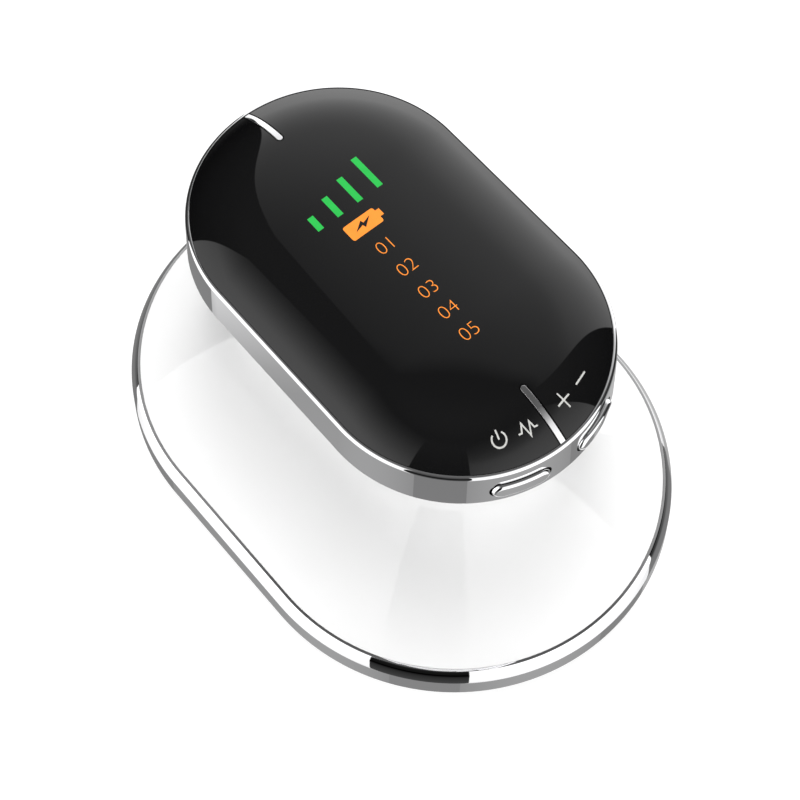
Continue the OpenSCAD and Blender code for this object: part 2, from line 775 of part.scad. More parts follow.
// The key's upright section, with its outer corners rounded
module key_section(h, r_out) translate([0, key_height]) {
  c = key_round;
  translate([flange_in, -h / 2]) square([r_out - c - flange_in, h]);
  translate([flange_in, -h / 2 + c]) square([r_out - flange_in, h - 2 * c]);
  for (y = [-1, 1]) translate([r_out - c, y * (h / 2 - c)]) circle(r = c);
}

module power_rocker() color(chrome) at_key(-1) rocker();

module level_rocker() color(chrome) at_key(1) rocker();

neck_shell();
base_ring();
base_gasket();
head_plate();
outer_electrode();
centre_electrode();
light_lens();
light_board();
light_lamps();
ultrasonic_disc();
driver_board();
output_transformer();
driver_chips();
head_screws();
driver_screws();
battery_cradle();
battery();
battery_pad();
cradle_screws();
handle_frame();
frame_screws();
grip_band();
top_cover();
front_accent();
rear_accent();
main_board();
board_screws();
display_baffle();
display_lamps();
control_chip();
charging_socket();
ribbon_cable();
power_switch_board();
level_switch_board();
power_switch_bodies();
level_switch_bodies();
rocker_pins();
power_rocker();
level_rocker();
power_plunger();
mode_plunger();
plus_plunger();
minus_plunger();
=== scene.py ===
"""Looks of a hand-held body contouring device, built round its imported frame.

The visible shells are swept round the same rounded-rectangle outline as the frame, smooth enough
for their polish. The keys, the lit marks, the treatment head and the studio are added to them."""

import math

import bmesh
import bpy
from mathutils import Matrix, Vector


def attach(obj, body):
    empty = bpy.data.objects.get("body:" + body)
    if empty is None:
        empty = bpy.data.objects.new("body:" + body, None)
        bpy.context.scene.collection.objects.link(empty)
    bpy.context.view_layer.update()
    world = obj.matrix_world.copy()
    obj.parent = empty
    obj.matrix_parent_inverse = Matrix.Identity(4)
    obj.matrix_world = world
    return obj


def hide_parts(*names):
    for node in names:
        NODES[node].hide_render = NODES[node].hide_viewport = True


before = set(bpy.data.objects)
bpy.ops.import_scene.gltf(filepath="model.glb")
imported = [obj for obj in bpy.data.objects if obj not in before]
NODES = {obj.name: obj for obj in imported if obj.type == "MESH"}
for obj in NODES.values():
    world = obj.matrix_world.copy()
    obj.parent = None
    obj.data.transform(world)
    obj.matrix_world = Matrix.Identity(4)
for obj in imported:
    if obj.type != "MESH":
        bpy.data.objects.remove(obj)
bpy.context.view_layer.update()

bl_info = {
    "name": "Body Contouring Device",
    "version": (1, 0, 0),
    "blender": (4, 5, 0),
    "location": "View3D > Sidebar > Device",
    "description": "Builds the visible pieces and the studio of a hand-held body contouring device",
    "category": "Object",
}

MM = 0.001
FINE = 1e-6  # points nearer than this are one point
CREASE = math.radians(20)  # a swept piece's edges are sharp from this angle
SHARP = math.radians(30)  # and the edges of the other pieces from this one


def length(name, description, default_mm):
    """A size in the sidebar, kept in metres and written here in millimetres"""
    return bpy.props.FloatProperty(
        name=name, description=description, default=default_mm * MM, unit="LENGTH", precision=5
    )


def colour(name, description, default):
    return bpy.props.FloatVectorProperty(
        name=name, description=description, subtype="COLOR", size=3, default=default, min=0, max=1
    )


def amount(name, description, default):
    return bpy.props.FloatProperty(name=name, description=description, default=default, min=0)


class DeviceSizes(bpy.types.PropertyGroup):
    """Sizes of the visible shells. A half width runs out from the outline's middle line"""

    half: length("Half of the middle", "Half of the outline's straight middle", 15.4)
    ring_r: length("Ring", "Half width of the base ring at its lower edge", 40)
    ring_in: length("Ring inside", "Half width inside the base ring", 37.95)
    ring_z: length("Ring height", "Height of the ring's lower edge", 2.2)
    ring_top: length("Ring top", "Height of the ring's top", 8.85)
    foot_r: length("Foot", "Half width of the body at its foot", 37.9)
    waist_r: length("Waist", "Half width of the body at its waist", 19.5)
    waist_z: length("Waist height", "Height of the waist", 38.2)
    brow_r: length("Brow", "Half width of the body's upper edge", 24.2)
    band_r: length("Band", "Half width of the grip band at its lower edge", 25.2)
    band_z: length("Band height", "Height of the band's lower edge", 50.2)
    band_face: length("Band face", "Height of the band's face", 7.52)
    band_lean: length("Band lean", "Inward lean of the band's face", 0.48)
    band_round: length("Band edge", "Rounding of the band's upper edge", 0.62)
    cover_r: length("Cover", "Half width of the top cover", 24.0)
    cover_z: length("Cover seat", "Height of the cover's lower edge", 56.94)
    cover_edge: length("Cover edge", "Height of the cover's upright edge", 1.36)
    bend_r: length("Bend", "Half width at which the cover's dome bends down", 14)
    bend_soft: length("Bend softness", "Half width over which that bend builds up", 0.8)
    bar_w: length("Accent bar width", "Width of an accent bar", 1)
    bar_in: length("Accent bar start", "Distance of a bar's tip from the end of the middle", 14.1)
    window_l: length("Window length", "Length of a key's window", 10.5)
    window_h: length("Window height", "Height of a key's window", 3.9)
    key_l: length("Key length", "Length of a key", 9.8)
    key_h: length("Key height", "Height of a key", 3.5)
    key_edge: length("Key edge", "Rounding of a key's edges", 0.6)
    key_z: length("Key place", "Height of the keys' middle", 53.5)
    key_face: length("Key face", "Radius of a key's face from the end of the middle", 25.6)
    key_angle: bpy.props.FloatProperty(
        name="Key angle",
        description="Angle of a key from the front",
        default=math.radians(18.2),
        subtype="ANGLE",
    )
    steps: bpy.props.IntProperty(
        name="Steps", description="Steps round each rounded end", default=96, min=24, max=160
    )


class DeviceFinishes(bpy.types.PropertyGroup):
    """Colours of the visible finishes"""

    shell: colour("Shell", "Glossy white plastic of the flared body", (0.8, 0.8, 0.8))
    chrome: colour("Chrome", "Bright plating of the ring, band, keys and bars", (0.93, 0.93, 0.94))
    cover: colour("Cover", "Black glossy cover", (0.0035, 0.0035, 0.0037))
    level: colour("Level lamps", "Green of the level bars", (0.032, 0.50, 0.085))
    mode: colour("Mode lamps", "Orange of the battery mark and mode numbers", (1.0, 0.305, 0.045))
    label: colour("Key labels", "Pale grey of the key labels", (0.50, 0.50, 0.48))


class StudioSettings(bpy.types.PropertyGroup):
    """Strengths of the studio's lights, and the camera's focal length"""

    panel_light: amount("Panels", "Brightness of the soft panels", 1.0)
    top_sun: amount("Top light", "Strength of the soft light overhead", 2.45)
    front_sun: amount("Front light", "Strength of the wide light in front", 1.1)
    focal_mm: amount("Focal length", "Focal length of the camera in millimetres", 85.09)


def sizes():
    return bpy.context.scene.device_sizes


def finishes():
    return bpy.context.scene.device_finishes


# Nodes


def add(tree, kind, values=(), **settings):
    """Adds a node. Its values are numbers or the sockets that feed its inputs"""
    node = tree.nodes.new(kind)
    for key, value in settings.items():
        setattr(node, key, value)
    for key, value in dict(values).items():
        socket = node.inputs[key]
        if isinstance(value, bpy.types.NodeSocket):
            tree.links.new(value, socket)
        else:
            socket.default_value = value
    return node


def calc(operation, *values):
    """Works with sockets and numbers, in the sockets' own tree"""
    tree = next(value.id_data for value in values if isinstance(value, bpy.types.NodeSocket))
    return add(tree, "ShaderNodeMath", dict(enumerate(values)), operation=operation).outputs[0]


def sweep_tree():
    """Sweeps the section that its points draw, with X for half width, round the outline"""
    tree = bpy.data.node_groups.new("Section swept round the outline", "GeometryNodeTree")
    for name, kind in (
        ("Section", "Geometry"),
        ("Half of the middle", "Float"),
        ("Steps round an end", "Int"),
        ("Sharp edges from", "Float"),
        ("Finish", "Material"),
    ):
        tree.interface.new_socket(name, in_out="INPUT", socket_type="NodeSocket" + kind)
    tree.interface.new_socket("Piece", in_out="OUTPUT", socket_type="NodeSocketGeometry")
    section, half, steps, sharp, finish = add(tree, "NodeGroupInput").outputs[:5]

    count = add(tree, "GeometryNodeAttributeDomainSize", {0: section}, component="MESH")
    rows = count.outputs["Point Count"]
    columns = calc("MULTIPLY_ADD", steps, 2, 2)
    size = {"Vertices X": calc("ADD", columns, 1), "Vertices Y": rows}
    piece = add(tree, "GeometryNodeMeshGrid", size).outputs[0]
    index = add(tree, "GeometryNodeInputIndex").outputs[0]
    row = calc("MODULO", index, rows)
    column = calc("FLOOR", calc("DIVIDE", calc("ADD", index, 0.5), rows))
    column = calc("MODULO", column, columns)
    front = calc("GREATER_THAN", column, calc("ADD", steps, 0.5))
    turn = calc("DIVIDE", calc("SUBTRACT", column, front), steps)
    angle = calc("MULTIPLY", turn, math.pi)
    centre = calc("MULTIPLY", half, calc("MULTIPLY_ADD", front, -2, 1))

    here = add(tree, "GeometryNodeInputPosition").outputs[0]
    values = {"Geometry": section, "Value": here, "Index": row}
    point = add(tree, "GeometryNodeSampleIndex", values, data_type="FLOAT_VECTOR").outputs[0]
    r, _, z = add(tree, "ShaderNodeSeparateXYZ", {0: point}).outputs
    x = calc("MULTIPLY", r, calc("COSINE", angle))
    y = calc("MULTIPLY_ADD", r, calc("SINE", angle), centre)
    place = add(tree, "ShaderNodeCombineXYZ", {0: x, 1: y, 2: z}).outputs[0]
    edge = add(tree, "GeometryNodeInputMeshEdgeAngle").outputs[0]
    crease = {"Selection": calc("GREATER_THAN", edge, sharp), "Shade Smooth": False}
    for kind, values, settings in (
        ("SetPosition", {"Position": place}, {}),
        ("MergeByDistance", {"Distance": FINE}, {}),
        ("SetShadeSmooth", {}, {}),
        ("SetShadeSmooth", crease, {"domain": "EDGE"}),
        ("RealizeInstances", {}, {}),
        ("SetMaterial", {"Material": finish}, {}),
    ):
        piece = add(tree, "GeometryNode" + kind, {0: piece, **values}, **settings).outputs[0]
    add(tree, "NodeGroupOutput", {0: piece})
    return tree


# Meshes


def new_object(name, mesh):
    obj = bpy.data.objects.new(name, mesh)
    bpy.context.scene.collection.objects.link(obj)
    return obj


def built_mesh(obj):
    """The mesh that an object and its modifiers build"""
    bpy.context.view_layer.update()
    seen = obj.evaluated_get(bpy.context.evaluated_depsgraph_get())
    mesh = bpy.data.meshes.new_from_object(seen)
    mesh.name = obj.name
    return mesh


def plain(obj):
    """Makes what an object's modifiers build into its own plain mesh"""
    mesh = built_mesh(obj)
    obj.modifiers.clear()
    obj.data = mesh
    return obj


def swept(name, section, material):
    """A piece swept from a section, a list of (half width, height) that runs up on the outside"""
    mesh = bpy.data.meshes.new(name)
    mesh.from_pydata([(r, 0, z) for r, z in section], [], [])
    obj = new_object(name, mesh)
    tree = bpy.data.node_groups.get("Section swept round the outline") or sweep_tree()
    modifier = obj.modifiers.new("Sweep", "NODES")
    modifier.node_group = tree
    inputs = {socket.name: socket.identifier for socket in tree.interface.items_tree}
    for name, value in (
        ("Half of the middle", sizes().half),
        ("Steps round an end", sizes().steps),
        ("Sharp edges from", CREASE),
        ("Finish", material),
    ):
        modifier[inputs[name]] = value
    obj.data.update()
    return weighted(obj)


def weighted(obj):
    """Lets long faces keep their own normals beside the narrow faces of a rounding"""
    modifier = obj.modifiers.new("Normals", "WEIGHTED_NORMAL")
    modifier.mode = "FACE_AREA"
    modifier.weight = 50
    modifier.keep_sharp = True
    return plain(obj)


def arc(centre, radius, start, end, steps):
    """Points of an arc in a section, its angles in degrees from the half width's direction"""
    turns = [math.radians(start + (end - start) * i / steps) for i in range(steps + 1)]
    return [(centre[0] + radius * math.cos(t), centre[1] + radius * math.sin(t)) for t in turns]


def tidy_mesh(mesh, smooth=True):
    """Merges a mesh's doubles, turns its faces outwards and marks its sharp edges"""
    bm = bmesh.new()
    bm.from_mesh(mesh)
    bmesh.ops.remove_doubles(bm, verts=bm.verts, dist=FINE)
    bmesh.ops.dissolve_degenerate(bm, edges=bm.edges, dist=FINE / 10)
    bmesh.ops.recalc_face_normals(bm, faces=bm.faces)
    for face in bm.faces:
        face.smooth = smooth
    for edge in bm.edges:
        edge.smooth = len(edge.link_faces) == 2 and edge.calc_face_angle(0) < SHARP
    bm.to_mesh(mesh)
    bm.free()


def rings(name, loops, material, close_end=True):
    """A closed piece through a list of closed loops that hold the same number of points"""
    n = len(loops[0])
    faces = [
        (i * n + j, i * n + (j + 1) % n, (i + 1) * n + (j + 1) % n, (i + 1) * n + j)
        for i in range(len(loops) - 1)
        for j in range(n)
    ]
    faces.append(tuple(range(n)))
    if close_end:
        faces.append(tuple((len(loops) - 1) * n + j for j in range(n)))
    mesh = bpy.data.meshes.new(name)
    mesh.from_pydata([tuple(point) for loop in loops for point in loop], [], faces)
    mesh.materials.append(material)
    tidy_mesh(mesh)
    return weighted(new_object(name, mesh))


def cut(obj, cutters):
    """Cuts closed pieces out of another, and removes them"""
    for cutter in cutters:
        modifier = obj.modifiers.new("Cut", "BOOLEAN")
        modifier.operation = "DIFFERENCE"
        modifier.solver = "EXACT"
        modifier.object = cutter
    plain(obj)
    for cutter in cutters:
        bpy.data.objects.remove(cutter)
    tidy_mesh(obj.data)


def outward(x, y):
    """The outline's outward direction at a point, and the point's half width"""
    d = Vector((x, y - max(-sizes().half, min(sizes().half, y)), 0))
    return (d.normalized() if d.length > FINE else Vector((0, 0, 0))), d.length


SIDEWAYS = 0.06  # a face whose normal leans this far along the outline was left by a cut
ON_FORM = 4e-6  # a point this near a rounding or the dome lies on it
SAME_WAY = 0.98  # the least dot product of a section's normal and its face's flat one


def true_normals(obj, arcs=(), dome=False):
    """Gives a swept piece the normals of its section, which a cut through long faces would bend.
    Arcs are (half width of centre, height of centre, radius). With a dome, cut faces stay flat"""
    mesh = obj.data
    normals = [corner.vector.copy() for corner in mesh.corner_normals]
    for face in mesh.polygons:
        flat = face.normal
        for corner in face.loop_indices:
            point = mesh.vertices[mesh.loops[corner].vertex_index].co
            out, r = outward(point.x, point.y)
            if abs(flat.dot(Vector((-out.y, out.x, 0)))) > SIDEWAYS:
                if dome:
                    normals[corner] = flat.copy()
                continue
            across = math.copysign(math.hypot(flat.x, flat.y), flat.dot(out))
            best = lifted(out, across, flat.z)
            for arc_r, arc_z, radius in arcs:
                away = Vector((r - arc_r, point.z - arc_z))
                if abs(away.length - radius) < ON_FORM:
                    best = closer(best, lifted(out, away.x, away.y).normalized())
            if dome and abs(dome_height(point.x, point.y) - point.z) < ON_FORM:
                slope = dome_slope(r)
                best = closer(best, lifted(out, math.sin(slope), math.cos(slope)))
            if best.length > FINE:
                normals[corner] = best.normalized()
    mesh.normals_split_custom_set(normals)


def lifted(out, across, up):
    """A direction in the section's plane, so far across and so far up"""
    return Vector((out.x * across, out.y * across, up))


def closer(flat, true):
    """The section's own normal where it is near a face's flat one, and the flat one elsewhere"""
    return true if true.dot(flat) > SAME_WAY else flat


def settle(obj, slot, *nodes, body="housing"):
    """Puts a finished piece on its body and hides the nodes it stands for; its slot is not used"""
    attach(obj, body)
    if nodes:
        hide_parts(*nodes)


# Finishes


def principled(name, base, roughness, metallic=0.0, **more):
    """A material with a Principled shader, its tree and the shader node"""
    material = bpy.data.materials.new(name)
    material.use_nodes = True
    tree = material.node_tree
    shader = tree.nodes["Principled BSDF"]
    given = {"Base Color": (*base, 1), "Roughness": roughness, "Metallic": metallic, **more}
    for socket, value in given.items():
        shader.inputs[socket].default_value = value
    return material, tree, shader


def object_noise(tree, scale, detail, stretch=None):
    place = add(tree, "ShaderNodeTexCoord").outputs["Object"]
    if stretch:
        place = add(tree, "ShaderNodeMapping", {"Vector": place, "Scale": stretch}).outputs[0]
    values = {"Vector": place, "Scale": scale, "Detail": detail}
    return add(tree, "ShaderNodeTexNoise", values).outputs[0]


def spread(tree, value, low, high, new_low, new_high, **settings):
    values = {0: value, 1: low, 2: high, 3: new_low, 4: new_high}
    return add(tree, "ShaderNodeMapRange", values, **settings).outputs[0]


def bump(tree, shader, height, strength, distance):
    values = {"Height": height, "Strength": strength, "Distance": distance}
    node = add(tree, "ShaderNodeBump", values)
    tree.links.new(node.outputs[0], shader.inputs["Normal"])


def uneven(tree, shader, noise, base, rough, gloss, tints, low=0.3):
    """Varies a finish's roughness and colour by a noise, between two shares of each"""
    gloss = spread(tree, noise, low, 0.7, rough * gloss[0], min(1, rough * gloss[1]))
    tree.links.new(gloss, shader.inputs["Roughness"])
    dark, light = ((*[min(1, c * share) for c in base], 1) for share in tints)
    values = {"Factor": noise, "A": dark, "B": light}
    mixed = add(tree, "ShaderNodeMix", values, data_type="RGBA")
    tree.links.new(mixed.outputs[2], shader.inputs["Base Color"])


def polished(name, base, rough, metallic=0.0, wave=1e-7):
    """A polished surface: faint wiping marks in its gloss, a slight waviness, a trace of tint"""
    material, tree, shader = principled(name, base, rough, metallic)
    wipe = object_noise(tree, 60.0, 3, (1, 0.25, 1))
    uneven(tree, shader, wipe, base, rough, (0.8, 1.3), (0.97, 1), low=0.35)
    bump(tree, shader, object_noise(tree, 42.0, 1), 0.3, wave)
    return material


def bright_chrome():
    """The one plating that every bright piece has"""
    name = "Bright chrome"
    kept = bpy.data.materials.get(name)
    return kept or polished(name, tuple(finishes().chrome), 0.015, 1.0)


def moulded(name, base, rough=0.5, grain=900.0, depth=8e-6, **more):
    """Moulded plastic or rubber with a fine grain"""
    material, tree, shader = principled(name, base, rough, **more)
    fine = object_noise(tree, grain, 3)
    uneven(tree, shader, fine, base, rough, (0.85, 1.15), (0.86, 1.08))
    bump(tree, shader, fine, 0.25, depth)
    return material


def lamp_glow(name, base, glow):
    """A lit mark behind the cover's surface, a little uneven over its lamps"""
    more = {"Emission Color": (*base, 1), "Specular IOR Level": 0.1}
    material, tree, shader = principled(name, [c * 0.25 for c in base], 0.35, **more)
    light = spread(tree, object_noise(tree, 700.0, 1), 0.3, 0.7, glow * 0.94, glow * 1.04)
    tree.links.new(light, shader.inputs["Emission Strength"])
    return material


def circuit_board():
    """Lacquer with fine tracks of a lighter tint under it"""
    base, copper = (0.015, 0.11, 0.045), (0.05, 0.2, 0.09)
    material, tree, shader = principled("Circuit board", base, 0.35)
    place = add(tree, "ShaderNodeTexCoord").outputs["Object"]
    values = {"Vector": place, "Scale": 260.0, "Mortar Size": 0.03}
    values |= {"Color1": (*base, 1), "Color2": (*[c * 1.15 for c in base], 1)}
    bricks = add(tree, "ShaderNodeTexBrick", {**values, "Mortar": (*copper, 1)})
    tree.links.new(bricks.outputs["Color"], shader.inputs["Base Color"])
    bump(tree, shader, bricks.outputs["Fac"], 0.2, 1e-5)
    return material


def brushed(name, base, rough=0.28):
    """Metal with fine brushing along one direction"""
    material, tree, shader = principled(name, base, rough, 1.0)
    lines = object_noise(tree, 2500, 2, (1, 0.02, 1))
    uneven(tree, shader, lines, base, rough, (0.75, 1.25), (0.9, 1))
    bump(tree, shader, lines, 0.15, 2e-6)
    return material


# Sections


def rounded(before, corner, after, radius, steps=5):
    """Replaces a section's corner with an arc between its two neighbours"""
    c = Vector(corner)
    a, b = (Vector(before) - c).normalized(), (Vector(after) - c).normalized()
    angle = a.angle(b)
    reach = radius / math.tan(angle / 2)
    centre = c + (a + b).normalized() * (radius / math.sin(angle / 2))
    start, end = c + a * reach - centre, c + b * reach - centre
    turn = start.angle_signed(end)
    return [
        tuple(centre + Matrix.Rotation(-turn * i / steps, 2) @ start) for i in range(steps + 1)
    ]


def sag_radius(depth, height):
    """Radius of the arc that is upright at one end and moves in by a depth over a height"""
    return (depth**2 + height**2) / (2 * depth)


def neck_section():
    """Two arcs that meet upright at the waist: the wide flare below and the brow above"""
    s = sizes()
    wall = 2 * MM
    sunk = 3.65 * MM  # how far the foot stands inside the ring
    flare_r = sag_radius(s.foot_r - s.waist_r, s.waist_z - s.ring_top)
    brow_r = sag_radius(s.brow_r - s.waist_r, s.band_z - s.waist_z)
    flare = (s.waist_r + flare_r, s.waist_z)
    brow = (s.waist_r + brow_r, s.waist_z)
    foot_z = s.ring_top - sunk

    def low_angle(inset):
        return 180 + math.degrees(math.acos((flare[0] - s.foot_r + inset) / (flare_r + inset)))

    def high_angle(inset):
        return 180 - math.degrees(math.asin((s.band_z - s.waist_z) / (brow_r + inset)))

    outside = [(s.foot_r, foot_z)] + arc(flare, flare_r, low_angle(0), 180, 64)
    outside += arc(brow, brow_r, 180, high_angle(0), 24)[1:]
    inside = arc(brow, brow_r + wall, high_angle(wall), 180, 12)
    inside += arc(flare, flare_r + wall, 180, low_angle(wall), 24)[1:]
    return outside + inside + [(s.foot_r - wall, foot_z), (s.foot_r, foot_z)]


LEDGE = 2 * MM  # width and thickness of the ring's inner ledge


def ring_section():
    """An upright face, a crowned bevel with a flatter upper part, and a narrow flat top"""
    s = sizes()
    crest_r = 38.41 * MM  # outer edge of the flat top
    # Stretches of the bevel from the top down: tilts at both ends in degrees, length, steps
    stretches = ((41, 41, 0.66 * MM, 2), (41, 30, 0.53 * MM, 5), (30, 23.5, 1.4 * MM, 5))
    foot_round, face_round, crest_round = 0.3 * MM, 0.2 * MM, 0.08 * MM
    r, z = crest_r, s.ring_top
    bevel = [(r, z)]
    for start, end, reach, steps in stretches:
        for i in range(steps):
            tilt = math.radians(start + (end - start) * (i + 0.5) / steps)
            r += math.sin(tilt) * reach / steps
            z -= math.cos(tilt) * reach / steps
            bevel.append((r, z))
    bevel.reverse()
    ledge_r, ledge_z = s.ring_in - LEDGE, s.ring_z + LEDGE
    foot = (s.ring_r, s.ring_z)
    start = rounded((ledge_r, s.ring_z), foot, bevel[0], foot_round)
    turn = rounded(foot, bevel[0], bevel[1], face_round, 3)
    crest = rounded(bevel[-2], bevel[-1], (s.ring_in, s.ring_top), crest_round, 3)
    inside = [(s.ring_in, s.ring_top), (s.ring_in, ledge_z), (ledge_r, ledge_z)]
    return start + turn + bevel[1:-1] + crest + inside + [(ledge_r, s.ring_z), start[0]]


def band_lean():
    """Angle of the band's face from upright"""
    return math.atan2(sizes().band_lean, sizes().band_face)


def band_arcs():
    """The band's rounded edges, as (half width of centre, height of centre, radius)"""
    s = sizes()
    low_round = 0.25 * MM
    reach = low_round / math.tan((math.pi / 2 - band_lean()) / 2)
    top_r = s.band_r - s.band_lean - s.band_round
    return (
        (s.band_r - reach, s.band_z + low_round, low_round),
        (top_r, s.band_z + s.band_face, s.band_round),
    )


def band_section():
    """The leaning face between two roundings, the cover's seat and a lip under the handle"""
    s = sizes()
    wall, seat_w, lip_w, lip_t = 1.9 * MM, 1.5 * MM, 1.8 * MM, 1.1 * MM
    seat = s.cover_r - seat_w
    inner = s.band_r - wall
    lip = inner - lip_w
    lean = math.degrees(band_lean())
    low, high = band_arcs()
    foot = arc(low[:2], low[2], -90, lean, 6)
    return (
        foot
        + arc(high[:2], high[2], lean, 90, 10)
        + [(high[0], s.cover_z), (seat, s.cover_z), (seat, s.cover_z - lip_t)]
        + [(inner, s.cover_z - lip_t - inner + seat), (inner, s.band_z + lip_t)]
        + [(lip, s.band_z + lip_t), (lip, s.band_z), foot[0]]
    )


DOME_STEP = 0.05 * MM
DOME_HEIGHTS = []
CROWN_TURN = 0.36  # how fast the dome's slope grows over its crown, in degrees a millimetre
SHOULDER_TURN = 2.9  # and how much faster past the bend


def dome_slope(r):
    """Slope of the cover's dome at a half width: a faint crown that bends into a shoulder"""
    s = sizes()
    bend = s.bend_soft * math.log(1 + math.exp((r - s.bend_r) / s.bend_soft))
    return math.radians((CROWN_TURN * r + SHOULDER_TURN * bend) / MM)


def dome_height(x, y):
    """Height of the dome over a point, from heights summed up once from the rim inwards"""
    s = sizes()
    if not DOME_HEIGHTS:
        DOME_HEIGHTS.append(s.cover_z + s.cover_edge)
        for i in range(round(s.cover_r / DOME_STEP), 0, -1):
            rise = math.tan(dome_slope((i - 0.5) * DOME_STEP)) * DOME_STEP
            DOME_HEIGHTS.append(DOME_HEIGHTS[-1] + rise)
        DOME_HEIGHTS.reverse()
    place = min(outward(x, y)[1] / DOME_STEP, len(DOME_HEIGHTS) - 1.001)
    low = int(place)
    return DOME_HEIGHTS[low] + (DOME_HEIGHTS[low + 1] - DOME_HEIGHTS[low]) * (place - low)


def cover_section():
    """A shell of even thickness under the dome, from its middle out to an upright edge"""
    s = sizes()
    wall, edge_round, rows = 1.6 * MM, 0.12 * MM, 60
    outer, inner = [], []
    for i in range(rows + 1):
        r = s.cover_r * (1 - i / rows)
        z, slope = dome_height(r, s.half), dome_slope(r)
        outer.append((r, z))
        inner.append((r - wall * math.sin(slope), z - wall * math.cos(slope)))
    inner = [(max(r, 0), z) for r, z in inner if r < s.cover_r - wall]
    edge = rounded((s.cover_r, s.cover_z), outer[0], outer[1], edge_round, 4)
    sides = [(s.cover_r - wall, s.cover_z), (s.cover_r, s.cover_z)]
    return inner[::-1] + sides + edge + outer[1:]


# Pills: the shape of the keys, their windows and the charging opening


def pill_points(long, tall, inset=0.0, turns=16, straight=10):
    """A pill's outline, drawn inward by an inset, as (across, up)"""
    r = tall / 2 - inset
    reach = (long - tall) / 2
    points = []
    for side in (1, -1):
        for i in range(turns + 1):
            a = math.pi * (i / turns - 0.5)
            points.append((side * (reach + r * math.cos(a)), side * r * math.sin(a)))
        for i in range(1, straight):
            points.append((side * (reach - 2 * reach * i / straight), side * r))
    return points


def on_band(side, radius, across, up):
    """A point at a radius from the front end of the middle, across and up from a key's middle"""
    s = sizes()
    turned = Matrix.Rotation(side * s.key_angle - math.pi / 2, 4, "Z")
    out = math.sqrt(max(radius**2 - across**2, 0))
    return Matrix.Translation((0, -s.half, 0)) @ turned @ Vector((out, across, s.key_z + up))


def direction(azimuth, elevation):
    """The unit vector towards a place round the object, its azimuth in degrees from the front"""
    a, e = math.radians(azimuth), math.radians(elevation)
    return Vector((math.sin(a) * math.cos(e), -math.cos(a) * math.cos(e), math.sin(e)))


# Operators


class BuildBody(bpy.types.Operator):
    """Builds the flared body, its gasket and the base ring"""

    bl_idname = "device.build_body"
    bl_label = "Body and ring"

    def execute(self, context):
        s = sizes()
        white = polished("Glossy white shell", tuple(finishes().shell), 0.03, wave=2e-7)
        rubber = moulded("Gasket rubber", (0.03, 0.03, 0.032), 0.7)
        settle(swept("neck_body", neck_section(), white), "body_white", "neck_shell")
        ring = swept("ring", ring_section(), bright_chrome())
        settle(ring, "chrome", "base_ring")
        low = s.ring_z + LEDGE
        high = low + 1 * MM
        r_in, r_out = s.ring_in - 1.95 * MM, s.foot_r
        section = [(r_out, low), (r_out, high), (r_in, high), (r_in, low), (r_out, low)]
        settle(swept("gasket", section, rubber), "gasket", "base_gasket")
        return {"FINISHED"}


class BuildBand(bpy.types.Operator):
    """Builds the grip band with its key windows and its charging opening"""

    bl_idname = "device.build_band"
    bl_label = "Grip band"

    def execute(self, context):
        band = swept("band", band_section(), bright_chrome())
        cut(band, [self.window(-1), self.window(1), self.port()])
        true_normals(band, band_arcs())
        settle(band, "chrome", "grip_band")
        return {"FINISHED"}

    def window(self, side):
        """What a key's window takes out of the band"""
        s = sizes()
        pill = pill_points(s.window_l, s.window_h)
        loops = [
            [on_band(side, r, across, up) for across, up in pill]
            for r in (s.band_r - 3 * MM, s.band_r + 1 * MM)
        ]
        return rings("key_window", loops, bright_chrome())

    def port(self):
        """What the charging opening takes out of the band's rear"""
        s = sizes()
        wide, tall, height = 9.2 * MM, 3.5 * MM, 53.1 * MM
        rear = s.half + s.band_r
        loops = [
            [Vector((across, y, height + up)) for across, up in pill_points(wide, tall)]
            for y in (rear - 4 * MM, rear + 1 * MM)
        ]
        return rings("port_opening", loops, bright_chrome())


